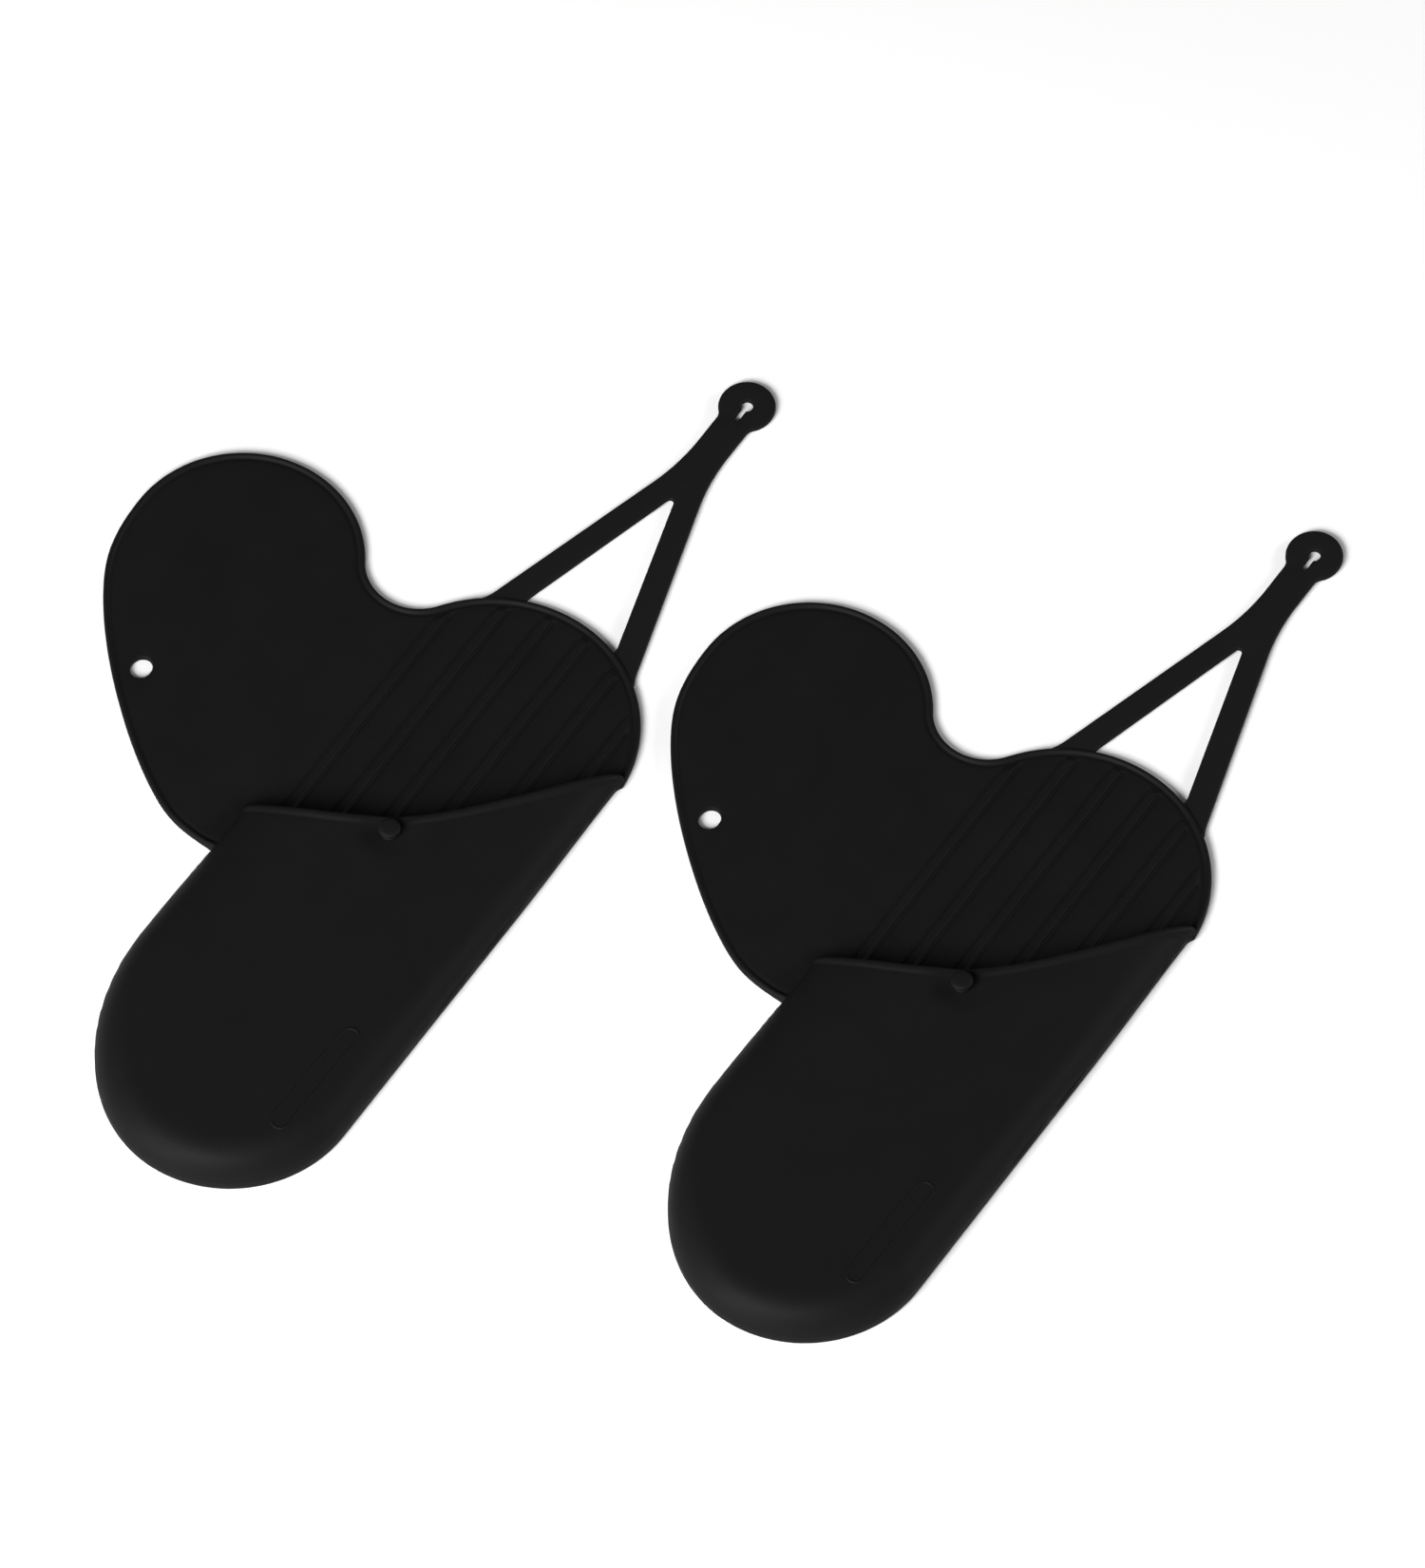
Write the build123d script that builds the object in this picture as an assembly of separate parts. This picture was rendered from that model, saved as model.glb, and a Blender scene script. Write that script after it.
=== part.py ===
from build123d import *
import math
import os

# A pair of soft silicone guards, each a long fold-over pouch: a ribbed back panel, a domed pocket
# with a slanted mouth, a side flap that folds over the mouth and a Y-shaped strap with a keyhole tab.
# Millimetres. +Y runs up each guard towards its strap, +X to the right, +Z up from the table.
# Each guard is drawn about the centre of its round top end, then moved to its place in the pair.

# Places of the two guards in the pair's frame, whose origin is under the middle of the whole pair
GUARD_PLACES = {"left": (-50.65, -9.15), "right": (157.35, 53.95)}

# Sheet and pocket
SHEET = 2.6              # thickness of the back panel and of the flap
END_RADIUS = 54.8        # round top end of the back panel, about the guard's own origin
HALF_WIDTH = 54.0        # from the guard's centre line to each straight edge of the pouch
POCKET_HEIGHT = 15.5     # top of the pocket above the table
POCKET_WALL = 2.4
SHOULDER = 12.4          # radius that rounds the pocket's upper edge
TIP = (5.1, -221.3)      # lowest point of the bottom end, which leans a little to the right
LEFT_END_Y = -145.0      # where the left edge starts to turn into the bottom end
RIGHT_END_Y = -172.0     # where the right edge starts to turn into the bottom end

# Slanted mouth of the pocket, seen from above, from its left end to its right end
MOUTH = [(-60, -79.5), (-48, -78.4), (-36, -74.6), (-24, -69.4), (-12, -63.2), (0, -55.8), (12, -45.2),
         (24, -31.9), (34, -19.2), (42, -7.4), (48, 1.6), (54, 9.6), (60, 16.6)]
MOUTH_REACH = 45.0       # how far up the pocket's form is drawn before the mouth is cut
LIP_WIDTH = 2.6
LIP_STAND = 0.9          # how far the lip bead stands proud of the pocket

# Raised edge bead and ribs
BEAD_WIDTH = 2.0
BEAD_HEIGHT = 0.8
RIB_COUNT = 6
RIB_PITCH = 16.4
RIB_WIDTH = 3.9
RIB_HEIGHT = 1.2
RIB_BOTTOM_Y = -160.0
RIB_INSET = 3.2          # gap from the round top end to the end of each rib

# Fold line of the flap: a line through FOLD_POINT, leaning FOLD_LEAN degrees to the right of +Y
FOLD_POINT = (-59.8, -57.5)
FOLD_LEAN = 6.35
FOLD_GAP = 0.4           # gap between fixed and folding sheet along each fold line
NOTCH_RADIUS = 20.0      # concave corner between the top end and the flap, tangent to both
LOBE_CENTRE = (-116.1, 8.0)
LOBE_RADIUS = 45.4       # round upper left end of the flap
FLAP_EDGE = [(-157.4, -18.0), (-149.8, -32.0), (-134.7, -51.0), (-111.9, -72.8), (-86.4, -91.4),
             (-74.0, -97.3), (-54.0, -100.0)]      # flap's lower left edge, from the lobe down to the pouch
INSET_STEPS = 12         # points that a line parallel to that edge is drawn through
FLAP_HOLE = (-119.6, -50.8)
FLAP_HOLE_RADIUS = 4.4

# Button on the pocket, just below the lip
BUTTON = (0.0, -64.1)
STEM_RADIUS = 2.2
STEM_HEIGHT = 1.6
HEAD_RADIUS = 4.1
HEAD_HEIGHT = 2.1

# Y-shaped strap
STRAP_BASE = 0.3         # underside of the strap above the table
STRAP = 2.0              # strap thickness
STRAP_ANGLE = 16.6       # lean of each arm from the axis
ARM_WIDTH = 9.8
ARM_MEET_Y = 136.0       # where the arms' centre lines meet
NECK_WIDTH = 13.2
NECK_START_Y = 134.0
TAB_Y = 165.9            # centre of the round tab
TAB_RADIUS = 10.6
STRAP_FOLD_Y = 54.4      # the strap folds along this line, just beyond the top end
KEYHOLE_RADIUS = 2.1
KEYHOLE_SLOT = 1.7
KEYHOLE_LENGTH = 6.6     # from the round hole's centre to the slot's closed end
PAIR_OF_SIDES = {"left": -1, "right": 1}

FAR = 400.0              # larger than anything in the part


def solid(face, low, high):
    """The face pushed up from height low to height high."""
    return extrude(Pos(0, 0, low) * face, amount=high - low, dir=(0, 0, 1))


def fold_frame(offset):
    """A corner of the fold line moved sideways by offset, with the fold's direction."""
    lean = math.radians(FOLD_LEAN)
    along = (math.sin(lean), math.cos(lean))
    across = (math.cos(lean), -math.sin(lean))
    return (FOLD_POINT[0] + offset * across[0], FOLD_POINT[1] + offset * across[1]), along, across


def beside_fold(side, offset):
    """Everything on one side of the fold line (side -1 is the flap's, 1 the pouch's)."""
    (x, y), along, across = fold_frame(offset)
    corners = []
    for reach, width in ((-FAR, 0), (FAR, 0), (FAR, side * FAR), (-FAR, side * FAR)):
        corners.append((x + reach * along[0] + width * across[0], y + reach * along[1] + width * across[1]))
    return make_face(Polyline(*corners, close=True))


def pouch_outline(grow=0.0, top=0.0):
    """Bottom end and straight sides, up to the top end's centre or the given height."""
    side, tip_x, tip_y = HALF_WIDTH + grow, TIP[0], TIP[1] - grow
    left_quarter = EllipticalCenterArc((tip_x, LEFT_END_Y), side + tip_x, LEFT_END_Y - tip_y, 180, arc_size=90)
    right_quarter = EllipticalCenterArc((tip_x, RIGHT_END_Y), side - tip_x, RIGHT_END_Y - tip_y, 270, arc_size=90)
    sides = Polyline((side, RIGHT_END_Y), (side, top), (-side, top), (-side, LEFT_END_Y))
    return make_face(Curve() + [left_quarter, right_quarter, sides])


def notch_centre():
    """Centre of the circle that touches the top end and the flap's lobe, between and above them."""
    to_lobe = math.hypot(*LOBE_CENTRE)
    from_end, from_lobe = END_RADIUS + NOTCH_RADIUS, LOBE_RADIUS + NOTCH_RADIUS
    along = (from_end ** 2 - from_lobe ** 2 + to_lobe ** 2) / (2 * to_lobe)
    aside = math.sqrt(from_end ** 2 - along ** 2)
    ux, uy = LOBE_CENTRE[0] / to_lobe, LOBE_CENTRE[1] / to_lobe
    return along * ux + aside * uy, along * uy - aside * ux


def flap_lower_edge(inset):
    """The flap's lower left edge, or the line that runs the given distance inside it."""
    start = (LOBE_CENTRE[0] - LOBE_RADIUS, LOBE_CENTRE[1])
    edge = Spline(start, *FLAP_EDGE, tangents=((0, -1), (1, -0.06)))
    if not inset:
        return edge
    points = []
    for step in range(INSET_STEPS + 1):
        place, heading = edge @ (step / INSET_STEPS), edge % (step / INSET_STEPS)
        points.append((place.X - heading.Y * inset, place.Y + heading.X * inset))
    return Spline(*points, tangents=((0, -1), (1, -0.06)))


def flap_outline(inset=0.0):
    """Flap and the sheet that joins it to the pouch, closed off inside the pouch."""
    nx, ny = notch_centre()
    end_share = (END_RADIUS - inset) / (END_RADIUS + NOTCH_RADIUS)
    on_end = (nx * end_share, ny * end_share)
    lobe_share = (LOBE_RADIUS - inset) / (LOBE_RADIUS + NOTCH_RADIUS)
    lx, ly = LOBE_CENTRE
    on_lobe = (lx + (nx - lx) * lobe_share, ly + (ny - ly) * lobe_share)
    notch = ThreePointArc(on_end, (nx, ny - NOTCH_RADIUS - inset), on_lobe)
    lobe = ThreePointArc(on_lobe, (lx, ly + LOBE_RADIUS - inset), (lx - LOBE_RADIUS + inset, ly))
    lower_edge = flap_lower_edge(inset)
    corner = lower_edge @ 1
    closing = Polyline((corner.X, corner.Y), (0, corner.Y), (0, 0), on_end)
    return make_face(Curve() + [notch, lobe, lower_edge, closing])


def sheet_outline(inset=0.0):
    """Back panel and flap as one flat sheet."""
    return Circle(END_RADIUS - inset) + pouch_outline(-inset) + flap_outline(inset)


def mouth_side(shift):
    """Everything below the mouth line, the line moved down by shift."""
    line = Spline(*[(x, y - shift) for x, y in MOUTH])
    (x0, y0), (x1, y1) = (MOUTH[0][0], MOUTH[0][1] - shift), (MOUTH[-1][0], MOUTH[-1][1] - shift)
    rest = Polyline((x1, y1), (x1, -FAR), (x0, -FAR), (x0, y0))
    return make_face(Curve() + [line, rest])


def dome(grow):
    """The pocket's outer form, or a parallel one inside or outside it."""
    block = solid(pouch_outline(grow, MOUTH_REACH), SHEET, POCKET_HEIGHT + grow)
    top_edges = block.faces().sort_by(Axis.Z)[-1].edges()
    return fillet(top_edges, SHOULDER + grow)


def make_pocket():
    shell = dome(0) - dome(-POCKET_WALL)
    front = shell & solid(mouth_side(LIP_WIDTH), 0, FAR)
    lip_shell = dome(LIP_STAND) - dome(-POCKET_WALL)
    lip = lip_shell & (solid(mouth_side(0), 0, FAR) - solid(mouth_side(LIP_WIDTH), 0, FAR))
    return front, lip


def make_ribs():
    ribs = []
    for number in range(RIB_COUNT):
        x = (number - (RIB_COUNT - 1) / 2) * RIB_PITCH
        top = math.sqrt((END_RADIUS - RIB_INSET) ** 2 - (abs(x) + RIB_WIDTH / 2) ** 2)
        length = top - RIB_BOTTOM_Y
        bar = Box(RIB_WIDTH, length, RIB_HEIGHT, align=(Align.CENTER, Align.MIN, Align.MIN))
        crest = bar.faces().sort_by(Axis.Z)[-1].edges()
        bar = fillet(crest, RIB_HEIGHT * 0.9)
        ribs.append(Pos(x, RIB_BOTTOM_Y, SHEET) * bar)
    return ribs


def make_strap():
    low, high = STRAP_BASE, STRAP_BASE + STRAP
    lean = math.radians(STRAP_ANGLE)
    beyond_end = Circle(FAR) - Circle(END_RADIUS)
    moving = Pos(0, STRAP_FOLD_Y + FOLD_GAP / 2 + FAR / 2) * Rectangle(2 * FAR, FAR)
    fixed = Pos(0, STRAP_FOLD_Y - FOLD_GAP / 2 - FAR / 2) * Rectangle(2 * FAR, FAR)
    pieces = {}
    neck = Pos(0, (NECK_START_Y + TAB_Y) / 2) * Rectangle(NECK_WIDTH, TAB_Y - NECK_START_Y)
    shoulders = Polyline((-NECK_WIDTH / 2, NECK_START_Y + 6), (NECK_WIDTH / 2, NECK_START_Y + 6),
                         (12.2, 116.0), (2.5, 116.0), (0, 118.5), (-2.5, 116.0), (-12.2, 116.0), close=True)
    tab = Pos(0, TAB_Y) * Circle(TAB_RADIUS)
    slot = Pos(0, TAB_Y - KEYHOLE_LENGTH / 2) * Rectangle(KEYHOLE_SLOT, KEYHOLE_LENGTH)
    keyhole = Pos(0, TAB_Y) * Circle(KEYHOLE_RADIUS) + slot
    neck_face = neck + make_face(shoulders)
    for side, sign in PAIR_OF_SIDES.items():
        middle = (sign * 50 * math.sin(lean), ARM_MEET_Y - 50 * math.cos(lean))
        arm = Pos(*middle) * (Rot(0, 0, sign * STRAP_ANGLE) * Rectangle(ARM_WIDTH, 100))
        half = Pos(sign * FAR / 2, 0) * Rectangle(FAR, FAR)
        arm = (arm & beyond_end & half) - neck_face - tab
        pieces[f"strap_{side}_arm"] = solid(arm & moving, low, high)
        pieces[f"strap_{side}_root"] = solid(arm & fixed, low, high)
    pieces["strap_neck"] = solid(neck_face - tab, low, high)
    pieces["strap_keyhole_tab"] = solid(tab - keyhole, low, high)
    return pieces


def make_guard():
    """All pieces of one guard, by name, about the centre of its round top end."""
    sheet = sheet_outline()
    bead = solid(sheet - sheet_outline(BEAD_WIDTH), SHEET, SHEET + BEAD_HEIGHT)
    pouch = beside_fold(1, FOLD_GAP / 2)
    wing = beside_fold(-1, -FOLD_GAP / 2)
    hole = Pos(*FLAP_HOLE) * Circle(FLAP_HOLE_RADIUS)
    front, lip = make_pocket()
    button = Pos(BUTTON[0], BUTTON[1], POCKET_HEIGHT)
    stem = Cylinder(STEM_RADIUS, STEM_HEIGHT, align=(Align.CENTER, Align.CENTER, Align.MIN))
    head = Cylinder(HEAD_RADIUS, HEAD_HEIGHT, align=(Align.CENTER, Align.CENTER, Align.MIN))
    head = fillet(head.faces().sort_by(Axis.Z)[-1].edges(), HEAD_HEIGHT * 0.6)
    pocket_footprint = solid(pouch_outline(LIP_STAND, MOUTH_REACH) & mouth_side(0), 0, FAR)
    pieces = {
        "back_panel": solid(sheet & pouch, 0, SHEET),
        "panel_edge_bead": (bead & solid(pouch, 0, FAR)) - pocket_footprint,
        "pocket_front": front,
        "pocket_mouth_lip": lip,
        "button_stem": button * stem,
        "button_head": button * (Pos(0, 0, STEM_HEIGHT) * head),
        "flap_sheet": solid((sheet & wing) - hole, 0, SHEET),
        "flap_edge_bead": bead & solid(wing, 0, FAR),
    }
    for number, rib in enumerate(make_ribs(), start=1):
        pieces[f"rib_{number}"] = rib
    pieces.update(make_strap())
    return pieces


os.makedirs("parts", exist_ok=True)
guard = make_guard()
for side, (x, y) in GUARD_PLACES.items():
    for name, shape in guard.items():
        export_step(Pos(x, y, 0) * shape, f"parts/{side}_{name}.step")
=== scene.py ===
import math

import bmesh
import bpy
import numpy as np
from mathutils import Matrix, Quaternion, Vector
from mathutils.geometry import delaunay_2d_cdt


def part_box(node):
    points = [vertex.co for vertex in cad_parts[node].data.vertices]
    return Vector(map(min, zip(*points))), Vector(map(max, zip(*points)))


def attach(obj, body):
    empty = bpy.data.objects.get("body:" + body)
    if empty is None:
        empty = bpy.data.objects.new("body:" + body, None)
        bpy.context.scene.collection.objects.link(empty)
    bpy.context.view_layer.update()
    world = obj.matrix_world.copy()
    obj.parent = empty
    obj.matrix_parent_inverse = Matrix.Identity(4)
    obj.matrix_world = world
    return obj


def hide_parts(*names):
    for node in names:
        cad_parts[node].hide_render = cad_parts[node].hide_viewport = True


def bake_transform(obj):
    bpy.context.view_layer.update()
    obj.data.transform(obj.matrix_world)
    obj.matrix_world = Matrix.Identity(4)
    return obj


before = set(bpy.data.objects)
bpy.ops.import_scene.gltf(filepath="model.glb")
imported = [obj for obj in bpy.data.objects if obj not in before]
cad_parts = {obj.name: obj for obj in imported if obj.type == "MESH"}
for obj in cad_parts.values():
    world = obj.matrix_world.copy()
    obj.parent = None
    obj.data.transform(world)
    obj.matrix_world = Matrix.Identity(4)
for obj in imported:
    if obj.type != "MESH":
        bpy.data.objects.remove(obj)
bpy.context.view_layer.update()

# Everything below is drawn in millimetres about the centre of a guard's round top end, as in the CAD
# model: +Y runs to the strap, +Z up from the table. finish_mesh() then moves it to that guard and to metres.
MM = 0.001
SIDES = ("left", "right")

# Sheet: back panel and flap
SHEET = 2.6
END_RADIUS = 54.8
HALF_WIDTH = 54.0
TIP = (5.1, -221.3)
LEFT_END_Y = -145.0
RIGHT_END_Y = -172.0
NOTCH_RADIUS = 20.0
LOBE_CENTRE = (-116.1, 8.0)
LOBE_RADIUS = 45.4
FLAP_EDGE = [(-157.4, -18.0), (-149.8, -32.0), (-134.7, -51.0), (-111.9, -72.8), (-86.4, -91.4),
             (-74.0, -97.3), (-54.0, -100.0)]
FLAP_HOLE = (-119.6, -50.8)
FLAP_HOLE_HALF = (3.9, 4.55)
UNDER_WALL = 1.2         # how far the sheet's edge lies inside the pocket's wall
FOLD_POINT = (-59.8, -57.5)
FOLD_LEAN = 6.35
RIB_COUNT = 6
RIB_PITCH = 16.4

# Pocket
MOUTH = [(-60, -79.5), (-48, -78.4), (-36, -74.6), (-24, -69.4), (-12, -63.2), (0, -55.8), (12, -45.2),
         (24, -31.9), (34, -19.2), (42, -7.4), (48, 1.6), (54, 9.6), (60, 16.6)]
NARROWING = 0.8          # how much narrower each side of the pouch is at the mouth
POCKET_TOP = 15.5
WALL_TOP = 3.1
WALL = 2.4
SHOULDER = 12.4          # width of the rounding along the pocket's edge
ARCH_WIDTH = 30.0        # width of the same rounding right at the mouth
ARCH_REACH = 75.0        # how far below the mouth that wide rounding turns into the narrow one
TURN_Y = -165.0          # below this height the rings of the pocket's mesh turn about their pole

# Button
BUTTON = (0.0, -64.1)
DISH_DEPTH = 0.7         # shallow dish in the pocket round the button
DISH_FLAT = 4.0
DISH_RADIUS = 12.0

# Strap
STRAP_TOP = 2.3
STRAP_ANGLE = math.radians(16.6)
ARM_WIDTH = 10.2
ARM_MEET_Y = 136.0
NECK_WIDTH = 13.2
TAB_Y = 165.9
TAB_RADIUS = 10.6
KEYHOLE_RADIUS = 2.3
KEYHOLE_SLOT = 2.0
KEYHOLE_LENGTH = 7.3


# ---------------------------------------------------------------- lines and loops

def resample(points, spacing):
    """The open line again, as evenly spaced points about that far apart."""
    p = np.asarray(points, float)
    run = np.concatenate([[0], np.cumsum(np.hypot(*np.diff(p, axis=0).T))])
    count = max(2, int(round(run[-1] / spacing)) + 1)
    at = np.linspace(0, run[-1], count)
    return np.column_stack([np.interp(at, run, p[:, 0]), np.interp(at, run, p[:, 1])])


def spline(points, start=None, end=None, steps=40):
    """Smooth curve through the points, with the given end directions or free ends."""
    p = np.asarray(points, float)
    h = np.hypot(*np.diff(p, axis=0).T)
    n = len(p)
    a, r = np.zeros((n, n)), np.zeros((n, 2))
    for i in range(1, n - 1):
        a[i, i - 1:i + 2] = h[i], 2 * (h[i - 1] + h[i]), h[i - 1]
        r[i] = 3 * (h[i] * (p[i] - p[i - 1]) / h[i - 1] + h[i - 1] * (p[i + 1] - p[i]) / h[i])
    for row, near, heading, span, sign in ((0, 1, start, h[0], 1), (n - 1, n - 2, end, h[-1], -1)):
        if heading is None:
            a[row, row], a[row, near] = 2, 1
            r[row] = sign * 3 * (p[near] - p[row]) / span
        else:
            a[row, row] = 1
            r[row] = np.asarray(heading, float) / math.hypot(*heading)
    m = np.linalg.solve(a, r)
    out = [p[:1]]
    for i in range(n - 1):
        t = np.linspace(0, 1, steps + 1)[1:, None]
        out.append((2 * t ** 3 - 3 * t ** 2 + 1) * p[i] + (t ** 3 - 2 * t ** 2 + t) * h[i] * m[i]
                   + (3 * t ** 2 - 2 * t ** 3) * p[i + 1] + (t ** 3 - t ** 2) * h[i] * m[i + 1])
    return np.vstack(out)


def arc(centre, radius, start, end, steps=60):
    """Points on a circle from one angle to another, in degrees."""
    t = np.radians(np.linspace(start, end, steps))
    return np.column_stack([centre[0] + radius * np.cos(t), centre[1] + radius * np.sin(t)])


def rounded_corner(before, corner, after, radius, steps=14):
    """The arc that rounds a corner between two straight lines."""
    c = np.asarray(corner, float)
    u, v = np.asarray(before, float) - c, np.asarray(after, float) - c
    u, v = u / math.hypot(*u), v / math.hypot(*v)
    half = math.acos(max(-1.0, min(1.0, float(u @ v)))) / 2
    reach = radius / math.tan(half)
    middle = c + (u + v) / math.hypot(*(u + v)) * radius / math.sin(half)
    first, last = c + u * reach - middle, c + v * reach - middle
    a0, a1 = math.atan2(first[1], first[0]), math.atan2(last[1], last[0])
    turn = (a1 - a0 + math.pi) % (2 * math.pi) - math.pi
    return arc(middle, radius, math.degrees(a0), math.degrees(a0 + turn), steps)


def closed(points, spacing):
    """A closed loop, evenly spaced, without its first point repeated at the end."""
    p = np.vstack([points, points[:1]])
    return resample(p, spacing)[:-1]


def inward(loop):
    """Unit normals to the left of a closed loop, which is where the material is."""
    along = np.roll(loop, -1, axis=0) - np.roll(loop, 1, axis=0)
    along /= np.hypot(*along.T)[:, None]
    return np.column_stack([-along[:, 1], along[:, 0]])


def inside(points, loop):
    """Which of the points lie inside the closed loop."""
    x, y = points[:, 0][:, None], points[:, 1][:, None]
    x0, y0 = loop[:, 0][None], loop[:, 1][None]
    x1, y1 = np.roll(x0, -1, axis=1), np.roll(y0, -1, axis=1)
    crosses = (y0 > y) != (y1 > y)
    rise = np.where(y1 == y0, 1e-12, y1 - y0)
    return (crosses & (x < (x1 - x0) * (y - y0) / rise + x0)).sum(axis=1) % 2 == 1


def nearest(points, line):
    """Distance from each point to a dense line, and the unit direction away from it."""
    gap = points[:, None, :] - line[None, :, :]
    square = (gap ** 2).sum(axis=2)
    k = square.argmin(axis=1)
    best = gap[np.arange(len(points)), k]
    length = np.sqrt(square[np.arange(len(points)), k])
    return length, best / np.maximum(length, 1e-9)[:, None]


def smooth(value, low, high):
    """0 below low, 1 above high, and a smooth step between."""
    t = np.clip((np.asarray(value, float) - low) / (high - low), 0, 1)
    return t * t * (3 - 2 * t)


# ---------------------------------------------------------------- meshes

def fill(loops, heights, extra, height, clear):
    """Triangles over the area inside loops[0] and outside the other loops, through the extra points."""
    bounds = np.vstack(loops)
    keep = inside(extra, loops[0]) & (nearest(extra, bounds)[0] > clear)
    for hole in loops[1:]:
        keep &= ~inside(extra, hole)
    points = np.vstack([bounds, extra[keep]])
    edges, first = [], 0
    for loop in loops:
        edges += [(first + i, first + (i + 1) % len(loop)) for i in range(len(loop))]
        first += len(loop)
    vectors = [Vector(p) for p in points.tolist()]
    flat, _, faces, origins, _, _ = delaunay_2d_cdt(vectors, edges, [], 1, 1e-5)
    flat = np.array([tuple(v) for v in flat])
    tall = height(flat)
    known = np.concatenate(heights)
    for i, origin in enumerate(origins):
        rim = [o for o in origin if o < len(bounds)]
        if rim:
            tall[i] = known[rim[0]]
    faces = [f for f in faces if len(f) == 3]
    middles = np.array([flat[list(f)].mean(axis=0) for f in faces])
    wanted = inside(middles, loops[0])
    for hole in loops[1:]:
        wanted &= ~inside(middles, hole)
    return np.column_stack([flat, tall]), [f for f, w in zip(faces, wanted) if w]


class Build:
    """Points and faces gathered for one piece."""

    def __init__(self):
        self.points, self.faces = [], []

    def add(self, points, faces, flip=False):
        first = len(self.points)
        self.points += np.asarray(points, float).tolist()
        for f in faces:
            self.faces.append([first + i for i in (reversed(f) if flip else f)])

    def strip(self, rings, wrap=True):
        """Faces between rings of the same number of points."""
        n = len(rings[0])
        faces = []
        for r in range(len(rings) - 1):
            for i in range(n if wrap else n - 1):
                j = (i + 1) % n
                faces.append((r * n + i, r * n + j, (r + 1) * n + j, (r + 1) * n + i))
        self.add(np.vstack(rings), faces)


def plate(loops, profiles, extra_top, extra_low, height, clear=0.45, grids=()):
    """A flat plate with rounded edges. Each profile lists (inset, z) from the underside to the top face.
    The grids are finer strips of its top face."""
    build = Build()
    low_loops, top_loops, low_z, top_z = [], [], [], []
    for loop, profile in zip(loops, profiles):
        normal = inward(loop)
        rings = []
        for inset, z in profile:
            at = loop + normal * inset
            rings.append(np.column_stack([at, np.broadcast_to(z, len(at))]))
        build.strip(rings)
        low_loops.append(rings[0][:, :2])
        low_z.append(rings[0][:, 2])
        top_loops.append(rings[-1][:, :2])
        top_z.append(rings[-1][:, 2])
    for grid in grids:
        border = grid_border(grid)
        top_loops.append(border)
        top_z.append(height(border))
        build.strip([np.column_stack([row, height(row)]) for row in grid], wrap=False)
    build.add(*fill(top_loops, top_z, extra_top, height, clear))
    flat = low_z[0][0]
    build.add(*fill(low_loops, low_z, extra_low, lambda p: np.full(len(p), flat), clear), flip=True)
    return build


def finish_mesh(name, build, side, material, *nodes):
    """The gathered points and faces as one smooth closed piece that replaces those CAD nodes, if any."""
    x, y = GUARD_AT[side]
    co = (np.array(build.points) + (x, y, 0)) * MM
    mesh = bpy.data.meshes.new(f"{side}_{name}")
    mesh.from_pydata(co.tolist(), [], build.faces)
    bm = bmesh.new()
    bm.from_mesh(mesh)
    bmesh.ops.remove_doubles(bm, verts=bm.verts, dist=2e-6)
    bmesh.ops.dissolve_degenerate(bm, edges=bm.edges, dist=1e-7)
    bmesh.ops.holes_fill(bm, edges=[e for e in bm.edges if e.is_boundary])
    bmesh.ops.recalc_face_normals(bm, faces=bm.faces)
    bm.to_mesh(mesh)
    bm.free()
    mesh.shade_smooth()
    mesh.materials.append(material)
    piece = bpy.data.objects.new(f"{side}_{name}", mesh)
    bpy.context.scene.collection.objects.link(piece)
    if nodes:
        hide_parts(*[f"{side}_{n}" for n in nodes])
    return piece


def guard_at(side):
    """Where the guard's own origin lies, in millimetres, from the box of its keyhole tab."""
    low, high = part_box(f"{side}_strap_keyhole_tab")
    return (low.x + high.x) / 2 / MM, high.y / MM - TAB_RADIUS - TAB_Y


GUARD_AT = {side: guard_at(side) for side in SIDES}


# ---------------------------------------------------------------- camera, light and floor

CAMERA_AZIMUTH = math.radians(34.99)
CAMERA_ELEVATION = math.radians(58.83)
CAMERA_ROLL = math.radians(-0.78)
CAMERA_DISTANCE = 10.37
CAMERA_LENS = 654.5
CAMERA_TARGET = (80.16, 26.08)     # from the left guard's origin, in millimetres

# Lights by name: place to the camera's right, towards it and up, in metres, then size and power
LIGHTS = [("left_box", -1.9, 1.7, 0.45, (1.0, 0.7), 52),
          ("right_box", 2.5, -0.5, 0.85, (1.4, 1.0), 46),
          ("front_box", -0.95, 1.6, 1.62, (1.5, 1.0), 112)]
LIGHT_RIGHT = (0.829, 0.559)       # direction of the lights' right on the floor
FLOOR_REACH = 14.0
FLOOR_Z = -0.0005


def make_camera():
    data = bpy.data.cameras.new("camera")
    camera = bpy.data.objects.new("camera", data)
    bpy.context.scene.collection.objects.link(camera)
    bpy.context.scene.camera = camera
    data.sensor_width = 36.0
    data.lens = CAMERA_LENS
    data.clip_start, data.clip_end = 0.1, 60.0
    x, y = GUARD_AT["left"]
    target = Vector(((x + CAMERA_TARGET[0]) * MM, (y + CAMERA_TARGET[1]) * MM, 0.0))
    level = math.cos(CAMERA_ELEVATION)
    back = Vector((math.sin(CAMERA_AZIMUTH) * level, -math.cos(CAMERA_AZIMUTH) * level,
                   math.sin(CAMERA_ELEVATION)))
    camera.location = target + back * CAMERA_DISTANCE
    camera.rotation_mode = "QUATERNION"
    roll = Quaternion((0, 0, 1), CAMERA_ROLL)
    camera.rotation_quaternion = (-back).to_track_quat("-Z", "Y") @ roll


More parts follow.
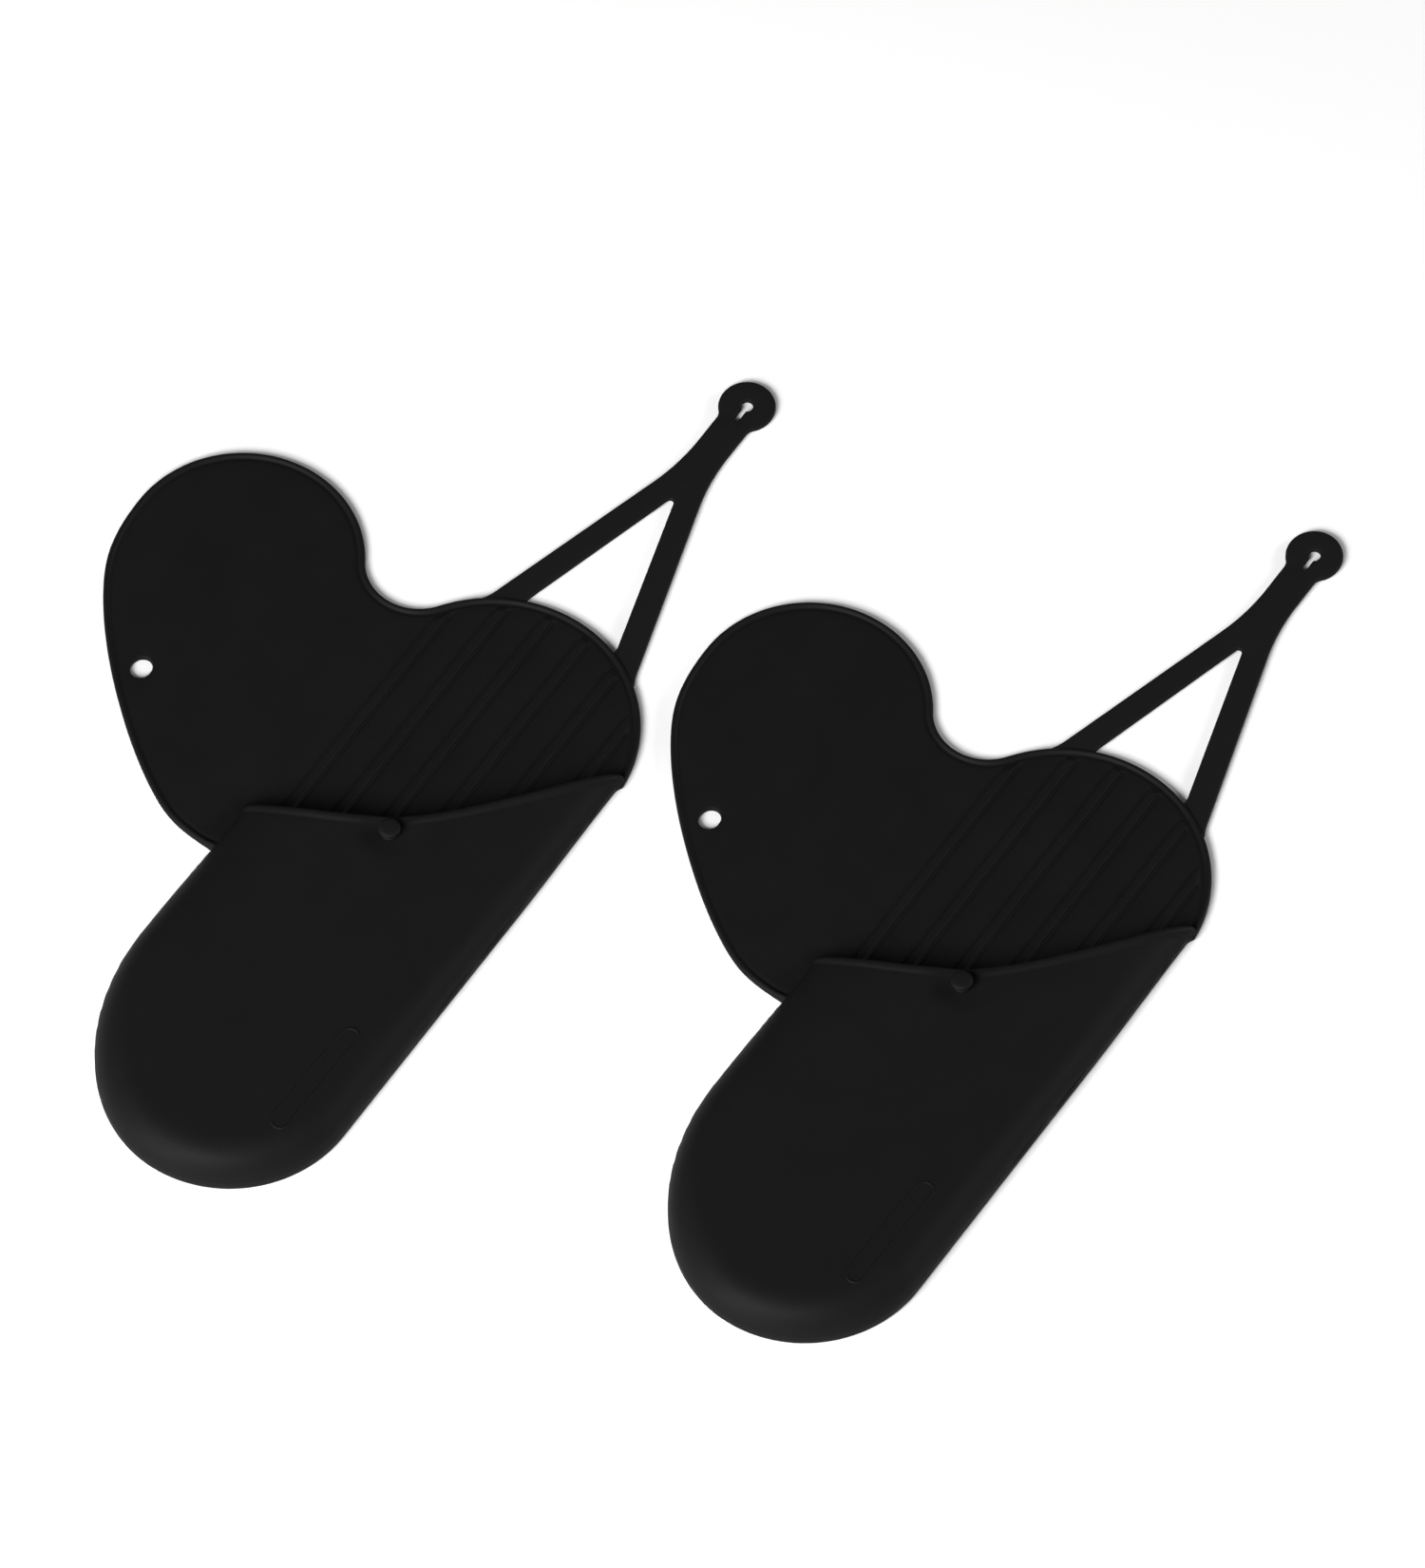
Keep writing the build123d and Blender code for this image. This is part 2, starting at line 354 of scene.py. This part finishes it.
def make_light(name, right, toward, up, size, power):
    """A soft box aimed at the middle of the pair."""
    at = Vector((right * LIGHT_RIGHT[0] + toward * LIGHT_RIGHT[1],
                 right * LIGHT_RIGHT[1] - toward * LIGHT_RIGHT[0], up))
    data = bpy.data.lights.new(name, "AREA")
    data.shape = "RECTANGLE"
    data.size, data.size_y = size
    data.energy = power
    light = bpy.data.objects.new(name, data)
    bpy.context.scene.collection.objects.link(light)
    light.location = at
    light.rotation_mode = "QUATERNION"
    light.rotation_quaternion = (-at).to_track_quat("-Z", "Y")


def node_material(name):
    material = bpy.data.materials.new(name)
    material.use_nodes = True
    tree = material.node_tree
    return material, tree, tree.nodes["Principled BSDF"]


def make_floor():
    material, _, shader = node_material("floor_paper")
    shader.inputs["Base Color"].default_value = (0.77, 0.77, 0.77, 1)
    shader.inputs["Roughness"].default_value = 0.9
    shader.inputs["Specular IOR Level"].default_value = 0.1
    mesh = bpy.data.meshes.new("floor")
    corners = [(x * FLOOR_REACH, y * FLOOR_REACH, FLOOR_Z) for x, y in ((-1, -1), (1, -1), (1, 1), (-1, 1))]
    mesh.from_pydata(corners, [], [(0, 1, 2, 3)])
    mesh.materials.append(material)
    floor = bpy.data.objects.new("floor", mesh)
    bpy.context.scene.collection.objects.link(floor)


def make_world():
    world = bpy.data.worlds.new("studio")
    bpy.context.scene.world = world
    world.use_nodes = True
    background = world.node_tree.nodes["Background"]
    background.inputs["Color"].default_value = (1.0, 1.0, 1.0, 1)
    background.inputs["Strength"].default_value = 0.12
    bpy.context.scene.view_settings.view_transform = "Standard"


# ---------------------------------------------------------------- material

def link(tree, a, out, b, into):
    tree.links.new(a.outputs[out], b.inputs[into])


def make_silicone(name, dark, light):
    """Matte black moulded silicone: a fine etched grain, faint mottling and slightly shinier patches."""
    material, tree, shader = node_material(name)
    nodes = tree.nodes
    place = nodes.new("ShaderNodeTexCoord")
    grain = nodes.new("ShaderNodeTexNoise")
    grain.inputs["Scale"].default_value = 2600.0
    grain.inputs["Detail"].default_value = 3.0
    mottle = nodes.new("ShaderNodeTexNoise")
    mottle.inputs["Scale"].default_value = 45.0
    mottle.inputs["Detail"].default_value = 6.0
    mottle.inputs["Roughness"].default_value = 0.6
    for texture in (grain, mottle):
        link(tree, place, "Object", texture, "Vector")
    colour = nodes.new("ShaderNodeValToRGB")
    colour.color_ramp.elements[0].position = 0.3
    colour.color_ramp.elements[0].color = (dark, dark, dark * 1.02, 1)
    colour.color_ramp.elements[1].position = 0.72
    colour.color_ramp.elements[1].color = (light, light, light * 1.02, 1)
    link(tree, mottle, "Fac", colour, "Fac")
    link(tree, colour, "Color", shader, "Base Color")
    rough = nodes.new("ShaderNodeMapRange")
    rough.inputs["From Min"].default_value = 0.3
    rough.inputs["From Max"].default_value = 0.7
    rough.inputs["To Min"].default_value = 0.5
    rough.inputs["To Max"].default_value = 0.57
    link(tree, mottle, "Fac", rough, "Value")
    link(tree, rough, "Result", shader, "Roughness")
    shader.inputs["IOR"].default_value = 1.41
    shader.inputs["Specular IOR Level"].default_value = 0.055
    bump = nodes.new("ShaderNodeBump")
    bump.inputs["Strength"].default_value = 0.12
    bump.inputs["Distance"].default_value = 0.00012
    link(tree, grain, "Fac", bump, "Height")
    link(tree, bump, "Normal", shader, "Normal")
    return material


# ---------------------------------------------------------------- sheet with rim, ribs and flap hole

def fold_axes():
    lean = math.radians(FOLD_LEAN)
    along = np.array((math.sin(lean), math.cos(lean)))
    across = np.array((math.cos(lean), -math.sin(lean)))
    return np.array(FOLD_POINT), along, across


def quarter(centre_y, side, low_y, start):
    """A quarter ellipse from the given angle to the next, in degrees, about (tip x, centre_y)."""
    t = np.radians(np.linspace(start, start + 90, 60))
    return np.column_stack([TIP[0] + side * np.cos(t), centre_y + (centre_y - low_y) * np.sin(t)])


def narrowing(y, sign):
    """How far the pouch's left (-1) or right (1) side is drawn in at height y."""
    return NARROWING * (smooth(y, -135, -85) if sign < 0 else smooth(y, -60, 0))


def pouch_edge(inset=0.0):
    """The pouch's edge from high on its left side, round the bottom end, to high on its right side."""
    side, low = HALF_WIDTH - inset, TIP[1] + inset
    left = quarter(LEFT_END_Y, side + TIP[0], low, 180)
    right = quarter(RIGHT_END_Y, side - TIP[0], low, 270)
    rise = np.arange(-140.0, 21, 5.0)
    left_side = np.column_stack([-side + narrowing(rise, -1), rise])[::-1]
    right_side = np.column_stack([side - narrowing(rise, 1), rise])
    return np.vstack([left_side, left, right[1:], right_side])


def notch_centre():
    """Centre of the circle that touches the top end and the flap's lobe."""
    to_lobe = math.hypot(*LOBE_CENTRE)
    from_end, from_lobe = END_RADIUS + NOTCH_RADIUS, LOBE_RADIUS + NOTCH_RADIUS
    along = (from_end ** 2 - from_lobe ** 2 + to_lobe ** 2) / (2 * to_lobe)
    aside = math.sqrt(from_end ** 2 - along ** 2)
    ux, uy = LOBE_CENTRE[0] / to_lobe, LOBE_CENTRE[1] / to_lobe
    return along * ux + aside * uy, along * uy - aside * ux


def sheet_loop():
    """Outline of the sheet, anticlockwise, its edge drawn in under the pocket's wall."""
    nx, ny = notch_centre()
    lx, ly = LOBE_CENTRE
    to_notch = math.degrees(math.atan2(ny, nx))
    from_end = math.degrees(math.atan2(-ny, -nx)) % 360
    from_lobe = math.degrees(math.atan2(ly - ny, lx - nx)) % 360
    lobe_start = math.degrees(math.atan2(ny - ly, nx - lx))
    top = arc((0, 0), END_RADIUS, 6.3, to_notch, 160)
    notch = arc((nx, ny), NOTCH_RADIUS, from_end, from_lobe, 40)
    lobe = arc((lx, ly), LOBE_RADIUS, lobe_start, 180, 120)
    edge = spline([(lx - LOBE_RADIUS, ly), *FLAP_EDGE], (0, -1), (1, -0.06))
    under = pouch_edge(UNDER_WALL)
    side = HALF_WIDTH - NARROWING - UNDER_WALL / 2
    under = under[under[:, 1] < -140]
    rise = [(side, 2.4), (side + 0.5, 3.9), (side + 1.4, 5.0)]
    return closed(np.vstack([top, notch[1:], lobe[1:], edge[1:], [(-side, -100.4)], under, rise]), 1.0)


def rib_height(points):
    """Height of the six ribs above the sheet, with steep sides and faded ends."""
    x, y = points[:, 0], points[:, 1]
    middle = (RIB_COUNT - 1) / 2
    centre = (np.clip(np.round(x / RIB_PITCH + middle), 0, RIB_COUNT - 1) - middle) * RIB_PITCH
    profile = np.interp(x - centre, RIB_ACROSS, RIB_SHAPE)
    top = smooth(-np.hypot(x, np.maximum(y, 0)), -(END_RADIUS - 3.4), -(END_RADIUS - 6.2))
    return profile * top * smooth(y, -168, -158)


# Each rib from left to right: distance across and height, with a deeper crease along its right side
RIB_ACROSS = [-3.0, -2.5, -2.15, -1.98, -1.9, -1.82, -1.73, -1.6, -1.4, -1.1, -0.6, 0.0,
              0.6, 1.1, 1.4, 1.6, 1.73, 1.82, 1.9, 2.0, 2.3, 2.75, 3.2, 3.6]
RIB_SHAPE = [0.0, -0.14, -0.22, -0.14, 0.1, 0.4, 0.62, 0.75, 0.82, 0.86, 0.89, 0.9,
             0.89, 0.86, 0.8, 0.7, 0.5, 0.2, -0.15, -0.45, -0.58, -0.42, -0.12, 0.0]
FILLET_REACH = 8.0
FILLET_HEIGHT = 2.2

# (inset, height) up the sheet's edge, over its bead, and round the flap's hole
SHEET_EDGE = [(1.1, 0.0), (0.6, 0.1), (0.22, 0.4), (0.03, 0.95), (0.0, 1.6), (0.06, 2.2), (0.25, 2.7)]
SHEET_BEAD = [(0.6, 2.98), (1.05, 3.17), (1.5, 3.11), (1.85, 2.88), (2.15, 2.58), (2.45, 2.36),
              (2.85, 2.27), (3.25, 2.38), (3.7, 2.54), (4.2, 2.6)]
HOLE_EDGE = [(0.8, 0.0), (0.35, 0.1), (0.08, 0.35), (0.0, 0.8), (0.0, 1.8), (0.08, 2.25), (0.35, 2.5),
             (0.9, 2.6)]


def wall_fillet(points):
    """Rise of the sheet against the pocket's left wall, between the mouth and the flap's lower edge."""
    x, y = points[:, 0], points[:, 1]
    gap = NARROWING - HALF_WIDTH - x
    rise = FILLET_HEIGHT * np.clip(1 - gap / FILLET_REACH, 0, 1) ** 2
    return rise * smooth(-y, 73.0, 83.0) * smooth(-x, 46.0, 50.0)


def sheet_height(points):
    return SHEET + rib_height(points) + wall_fillet(points)


def rib_grids():
    """The strip of sheet that carries each rib: rows of points from the top down, each left to right."""
    grids = []
    for number in range(RIB_COUNT):
        x = (number - (RIB_COUNT - 1) / 2) * RIB_PITCH + np.array(RIB_ACROSS)
        end = np.sqrt((END_RADIUS - 4.7) ** 2 - x ** 2)
        rows = [end - drop for drop in (0, 0.4, 0.85, 1.4, 2.1, 3.0, 4.5, 7.0)]
        rows += [np.full(len(x), y) for y in np.arange(end.min() - 12, -170, -6.0)]
        grids.append([np.column_stack([x, row]) for row in rows])
    return grids


def grid_border(grid):
    """The grid's outer points as a clockwise loop."""
    left = [row[0] for row in grid][::-1]
    right = [row[-1] for row in grid]
    return np.array(left + list(grid[0][1:-1]) + right + list(grid[-1][1:-1][::-1]))


def sheet_points():
    """Inner points of the sheet's top face, and of its underside."""
    point, along, across = fold_axes()
    fold = [tuple(point + along * a + across * b)
            for a in np.arange(-60, 110, 3.0) for b in np.arange(-13, 5, 0.7)]
    wall = [(-HALF_WIDTH - gap, y) for gap in np.arange(-8, 10, 1.0) for y in np.arange(-99, -70, 1.5)]
    off_wall = [p for p in fold if not (p[0] > -64 and p[1] < -69)]
    flap = [(x, y) for x in np.arange(-160, -75, 7.0) for y in np.arange(-90, 55, 7.0)]
    return np.array(wall + off_wall + flap), np.array(fold + flap)


def make_sheet(side):
    loop = sheet_loop()
    x, y = loop[:, 0], loop[:, 1]
    left_free = np.where(y > -60, 1.0, smooth(-x, 52.9, 54.5))
    free = np.where(x > 0, smooth(y, 2.5, 5.5), left_free)
    profile = [(inset, min(z, SHEET) + free * max(z - SHEET, 0)) for inset, z in SHEET_EDGE]
    for inset, z in SHEET_BEAD:
        at = loop + inward(loop) * inset
        profile.append((inset, SHEET + free * (z - SHEET) + wall_fillet(at)))
    hole = FLAP_HOLE + arc((0, 0), 1.0, 360, 0, 61)[:-1] * FLAP_HOLE_HALF
    build = plate([loop, hole], [profile, HOLE_EDGE], *sheet_points(), sheet_height, grids=rib_grids())
    nodes = ["back_panel", "panel_edge_bead", "flap_sheet", "flap_edge_bead"]
    nodes += [f"rib_{n}" for n in range(1, RIB_COUNT + 1)]
    piece = finish_mesh("panel_and_flap", build, side, SILICONE, *nodes)
    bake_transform(piece)
    return piece


# ---------------------------------------------------------------- pocket

MOUTH_LINE = spline(MOUTH)


def mouth_y(x):
    return np.interp(x, MOUTH_LINE[:, 0], MOUTH_LINE[:, 1])


def mouth_lean(x):
    """Slope of the mouth line at x, over one millimetre."""
    return mouth_y(x + 0.5) - mouth_y(x - 0.5)


def pocket_section(depth, below):
    """Height over the table and slope at a distance inside the pouch's edge and below the mouth."""
    arch_t = np.clip(depth / ARCH_WIDTH, 1e-6, 1)
    body_t = np.clip(depth / SHOULDER, 1e-6, 1)
    arch = np.sqrt(1 - (1 - arch_t) ** 2)
    body = np.sqrt(1 - (1 - body_t) ** 2)
    arch_slope = (1 - arch_t) / np.maximum(arch, 1e-6) / ARCH_WIDTH
    body_slope = (1 - body_t) / np.maximum(body, 1e-6) / SHOULDER
    share = smooth(below, 0, ARCH_REACH)
    rise = POCKET_TOP - WALL_TOP
    height = WALL_TOP + rise * (arch + (body - arch) * share)
    return height, rise * (arch_slope + (body_slope - arch_slope) * share)


EDGE_LINE = resample(pouch_edge(), 0.5)
DEPTHS = [0, 0.12, 0.4, 0.85, 1.5, 2.35, 3.4, 4.7, 6.2, 7.9, 9.8, 12, 14.5, 17.5, 21, 25, 29.5, 34.5,
          38.5, 41.5, 43.5, 45, 46.5, 48, 49.5, 51, 52.5, 54]
BODY_ROWS = 44
TURN_POINTS = 64
LIP_START = 4.4          # where the lip's rows take over from the pocket's, below the mouth line
LIP = [(3.9, -0.04), (3.45, 0.03), (3.0, 0.26), (2.5, 0.5), (1.9, 0.66), (1.25, 0.68), (0.65, 0.5),
       (0.2, 0.14), (0.0, -0.4), (0.06, -1.1), (0.35, -1.75), (0.85, -2.2), (1.5, -2.42), (2.6, -2.4)]
LIP_GAP_X = -3.3         # middle of the gap in the rolled lip
# Rows of the wall's foot: inset and height of its outer face, then of its inner face
LOW_WALL = [(0.0, 1.9, 2.4, 2.5), (0.0, 1.0, 2.4, 2.2), (0.2, 0.4, 2.2, 1.7), (0.7, 0.06, 1.8, 0.9),
            (1.35, 0.05, 1.35, 0.05)]


def side_x(y, sign):
    """The pouch's edge at height y on its left (-1) or right (1) side."""
    y = np.asarray(y, float)
    centre_y = LEFT_END_Y if sign < 0 else RIGHT_END_Y
    side = HALF_WIDTH - sign * TIP[0]
    drop = np.clip((y - centre_y) / (centre_y - TIP[1]), -1, 0)
    return TIP[0] + sign * (side * np.sqrt(1 - drop ** 2) - narrowing(y, sign))


def mouth_x(depth, sign):
    """Where a ring of the pocket meets the mouth on its left (-1) or right (1) side."""
    x = 0.0
    for _ in range(6):
        x = (1 - depth / HALF_WIDTH) * float(side_x(mouth_y(x), sign))
    return x


def ring_plan(depth):
    """Plan of one ring of the pocket, from the mouth's left end round the bottom to its right end. The ring
    keeps about that depth inside the pouch's edge."""
    share = depth / HALF_WIDTH
    parts = []
    grow = np.linspace(0, 1, BODY_ROWS + 1)
    grow = (0.55 * grow + 0.45 * grow ** 2)[1:]
    for sign in (-1, 1):
        x = mouth_x(depth, sign)
        slant = math.sqrt(1 + mouth_lean(x) ** 2)
        start = mouth_y(x) - LIP_START * slant
        y = np.concatenate([[start], start + (TURN_Y - start) * grow])
        parts.append(np.column_stack([(1 - share) * side_x(y, sign), y]))
    low = pouch_edge()
    low = low[low[:, 1] < TURN_Y]
    ends = [(float(side_x(TURN_Y, -1)), TURN_Y), (float(side_x(TURN_Y, 1)), TURN_Y)]
    low = resample(np.vstack([ends[:1], low, ends[1:]]), 0.5)
    steps = np.linspace(0, len(low) - 1, TURN_POINTS + 1)
    low = np.column_stack([np.interp(steps, np.arange(len(low)), low[:, i]) for i in (0, 1)])
    turn = low * (1 - share) + np.array((0.0, TURN_Y)) * share
    return np.vstack([parts[0], turn[1:-1], parts[1][::-1]])


def below_mouth(points):
    """How far the points lie below the mouth line, measured square to it."""
    slope = mouth_lean(points[:, 0])
    return (mouth_y(points[:, 0]) - points[:, 1]) / np.sqrt(1 + slope ** 2)


def pocket_points(plan):
    """Points of the pocket's outer face over the plan, with the outward normals."""
    depth, away = nearest(plan, EDGE_LINE)
    height, slope = pocket_section(depth, below_mouth(plan))
    reach = np.hypot(*(plan - BUTTON).T)
    height = height - DISH_DEPTH * (1 - smooth(reach, DISH_FLAT, DISH_RADIUS))
    normal = np.column_stack([-away * slope[:, None], np.ones(len(plan))])
    normal /= np.linalg.norm(normal, axis=1)[:, None]
    return np.column_stack([plan, height]), normal


def lip_rows(x, depth):
    """Points of the rolled lip on one line of the pocket, from the outer face over to the inner face. The
    roll runs out behind the button."""
    slant = math.sqrt(1 + mouth_lean(x) ** 2)
    plan = np.array([(x, mouth_y(x) - inset * slant) for inset, _ in LIP])
    base, normal = pocket_points(plan)
    if depth == 0:
        normal = np.tile((math.copysign(1.0, x), 0, 0), (len(plan), 1))
    rise = np.array([o for _, o in LIP])
    proud = np.maximum(rise, 0) * (0.1 + 0.9 * smooth(abs(x - LIP_GAP_X), 6.0, 10.5))
    return base + normal * (np.minimum(rise, 0) + proud)[:, None]


def make_pocket(side):
    rings = []
    for depth in DEPTHS:
        plan = ring_plan(depth)
        outer, normal = pocket_points(plan)
        if depth == 0:
            _, away = nearest(ring_plan(0.5), EDGE_LINE)
            normal = np.column_stack([-away, np.zeros(len(away))])
            edge_normal = normal
        inner = outer - normal * WALL
        left = lip_rows(mouth_x(depth, -1), depth)
        right = lip_rows(mouth_x(depth, 1), depth)
        rings.append(np.vstack([outer, right, inner[::-1], left[::-1]]))
    lip_normal = np.tile((1.0, 0, 0), (len(LIP), 1))
    normals = np.vstack([edge_normal, lip_normal, edge_normal[::-1], -lip_normal])
    inward_lip = np.array([-rise for _, rise in LIP])
    reach = np.concatenate([np.zeros(len(outer)), inward_lip, np.full(len(outer), WALL), inward_lip[::-1]])
    share = np.clip(reach / WALL, 0, 1)
    edge = rings[0] + normals * reach[:, None]
    low_rings = []
    for outer_inset, outer_z, inner_inset, inner_z in LOW_WALL:
        inset = outer_inset + (inner_inset - outer_inset) * share + np.minimum(reach, 0)
        ring = edge - normals * inset[:, None]
        ring[:, 2] = outer_z + (inner_z - outer_z) * share
        low_rings.append(ring)
    build = Build()
    build.strip(low_rings[::-1] + rings)
    return finish_mesh("pocket", build, side, SILICONE, "pocket_front", "pocket_mouth_lip")


# ---------------------------------------------------------------- button

# (radius, height over the pocket) from the stem's foot to the middle of the head
BUTTON_PROFILE = [(3.4, -0.6), (3.1, -0.1), (2.75, 0.12), (2.35, 0.45), (2.2, 0.8), (2.2, 1.3), (2.5, 1.58),
                  (3.2, 1.64), (3.8, 1.76), (4.05, 2.0), (4.1, 2.4), (4.02, 2.85), (3.75, 3.25),
                  (3.25, 3.5), (2.5, 3.64), (1.5, 3.69), (0.6, 3.7)]


def make_button(side):
    around = np.radians(np.arange(0, 360, 7.5))
    circle = np.column_stack([np.cos(around), np.sin(around)])
    count = len(circle)
    rings = [np.column_stack([BUTTON + radius * circle, np.full(count, POCKET_TOP + z)])
             for radius, z in BUTTON_PROFILE]
    build = Build()
    build.strip(rings)
    fan = [(i, (i + 1) % count, count) for i in range(count)]
    for ring in (rings[0], rings[-1]):
        build.add(np.vstack([ring, [(*BUTTON, ring[0, 2])]]), fan)
    return finish_mesh("button", build, side, SILICONE, "button_stem", "button_head")


# ---------------------------------------------------------------- mark

MARK_ENDS = ((37.0, -143.0), (36.2, -186.0))
MARK_HALF = 3.3
# (distance across, rise) round the section of its line
MARK_SECTION = [(-0.6, -0.3), (-0.56, 0.0), (-0.36, 0.25), (0.0, 0.33), (0.36, 0.25), (0.56, 0.0),
                (0.6, -0.3)]


def make_mark(side):
    """A plain raised capsule outline near the closed end of the pouch."""
    (x0, y0), (x1, y1) = MARK_ENDS
    turn = math.degrees(math.atan2(y1 - y0, x1 - x0)) + 90
    ends = [arc(MARK_ENDS[0], MARK_HALF, turn, turn + 180, 24),
            arc(MARK_ENDS[1], MARK_HALF, turn + 180, turn + 360, 24)]
    path = closed(np.vstack(ends), 0.5)
    base, normal = pocket_points(path)
    across = np.column_stack([inward(path), np.zeros(len(path))])
    rings = [base + across * aside + normal * rise for aside, rise in MARK_SECTION]
    build = Build()
    build.strip(rings + rings[:1])
    return finish_mesh("capsule_mark", build, side, SILICONE)


# ---------------------------------------------------------------- strap

ARM_ALONG = np.array((math.sin(STRAP_ANGLE), -math.cos(STRAP_ANGLE)))
ARM_OUT = np.array((math.cos(STRAP_ANGLE), math.sin(STRAP_ANGLE)))
ARM_MEET = np.array((0.0, ARM_MEET_Y))
# (inset, height) up the strap's edge, and up the keyhole's
STRAP_EDGE = [(1.0, 0.3), (0.45, 0.38), (0.12, 0.66), (0.0, 1.1), (0.0, 1.5), (0.12, 1.94), (0.45, 2.2),
              (1.0, 2.3)]
KEYHOLE_EDGE = [(0.45, 0.3), (0.15, 0.38), (0.0, 0.65), (0.0, 1.95), (0.15, 2.2), (0.45, 2.3)]


def strap_loop():
    """Outline of the Y strap, anticlockwise: one loop, open between the arms at the guard's end."""
    lean, out, meet = ARM_ALONG, ARM_OUT, ARM_MEET
    root_out = meet + lean * 100.0 + out * ARM_WIDTH / 2
    root_in = meet + lean * 94.0 - out * ARM_WIDTH / 2
    half = NECK_WIDTH / 2
    outer_start = meet + out * ARM_WIDTH / 2
    corner = outer_start + lean * (half - outer_start[0]) / lean[0]
    inner_start = meet - out * ARM_WIDTH / 2
    crotch = inner_start + lean * (0 - inner_start[0]) / lean[0] + (0, 2.4)
    fillet = 4.0
    neck_end = TAB_Y - math.sqrt((TAB_RADIUS + fillet) ** 2 - (half + fillet) ** 2)
    tangent = math.degrees(math.atan2(neck_end - TAB_Y, half + fillet))
    tab_fillet = arc((half + fillet, neck_end), fillet, 180, 180 + tangent, 14)
    tab = arc((0, TAB_Y), TAB_RADIUS, tangent, 90, 60)
    neck = rounded_corner(root_out, corner, (half, neck_end), 85.0, 30)
    root_outer = rounded_corner(root_in, root_out, corner, 1.2, 6)
    root_inner = rounded_corner(crotch, root_in, root_out, 1.2, 6)
    crotch_arc = rounded_corner(crotch + (-lean[0], lean[1]), crotch, root_in, 1.3, 12)
    crotch_arc = crotch_arc[crotch_arc[:, 0] >= -1e-6]
    right = np.vstack([crotch_arc, root_inner, root_outer, neck, tab_fillet, tab[1:]])
    left = right[::-1] * (-1, 1)
    loop = closed(np.vstack([right, left[1:-1]]), 0.7)
    beyond = np.hypot(*loop.T) - END_RADIUS
    flare = 0.7 * np.clip(1 - np.abs(beyond) / 3.0, 0, 1) ** 2
    return loop - inward(loop) * flare[:, None]


def keyhole_loop():
    """Round hole with a slot towards the guard, clockwise."""
    half = KEYHOLE_SLOT / 2
    join = math.degrees(math.asin(half / KEYHOLE_RADIUS))
    hole = arc((0, TAB_Y), KEYHOLE_RADIUS, 270 - join, 270 + join - 360, 40)
    end = arc((0, TAB_Y - KEYHOLE_LENGTH + half), half, 0, -180, 14)
    return closed(np.vstack([hole, end]), 0.3)


def strap_height(points):
    return np.full(len(points), STRAP_TOP)


def make_strap(side):
    rows = []
    for reach in np.arange(30, 90, 1.0):
        for aside in (-2.2, 0, 2.2):
            x, y = ARM_MEET + ARM_ALONG * reach + ARM_OUT * aside
            rows += [(x, y), (-x, y)]
    rows = np.array(rows)
    build = plate([strap_loop(), keyhole_loop()], [STRAP_EDGE, KEYHOLE_EDGE], rows, rows, strap_height)
    nodes = [f"strap_{arm}_{part}" for arm in SIDES for part in ("root", "arm")]
    nodes += ["strap_neck", "strap_keyhole_tab"]
    # The strap takes the silicone copy that is painted lighter, as painted light for the dimmer light at the
    # strap.
    piece = finish_mesh("strap", build, side, STRAP_SILICONE_PAINTED_LIGHTER, *nodes)
    x, y = GUARD_AT[side]
    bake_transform(piece)
    return piece


make_camera()
make_world()
make_floor()
for light in LIGHTS:
    make_light(*light)
# Darkest and lightest shade of each, in linear light
SILICONE = make_silicone("matte_black_silicone", 0.0051, 0.0057)
# The strap's copy of the same silicone is painted lighter: a painted brightening that stands in for light
# falling off towards the strap.
STRAP_SILICONE_PAINTED_LIGHTER = make_silicone("strap_silicone_painted_lighter", 0.0064, 0.0071)
for side in SIDES:
    make_sheet(side)
    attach(make_pocket(side), f"{side}_guard")
    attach(make_button(side), f"{side}_guard")
    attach(make_mark(side), f"{side}_guard")
    make_strap(side)
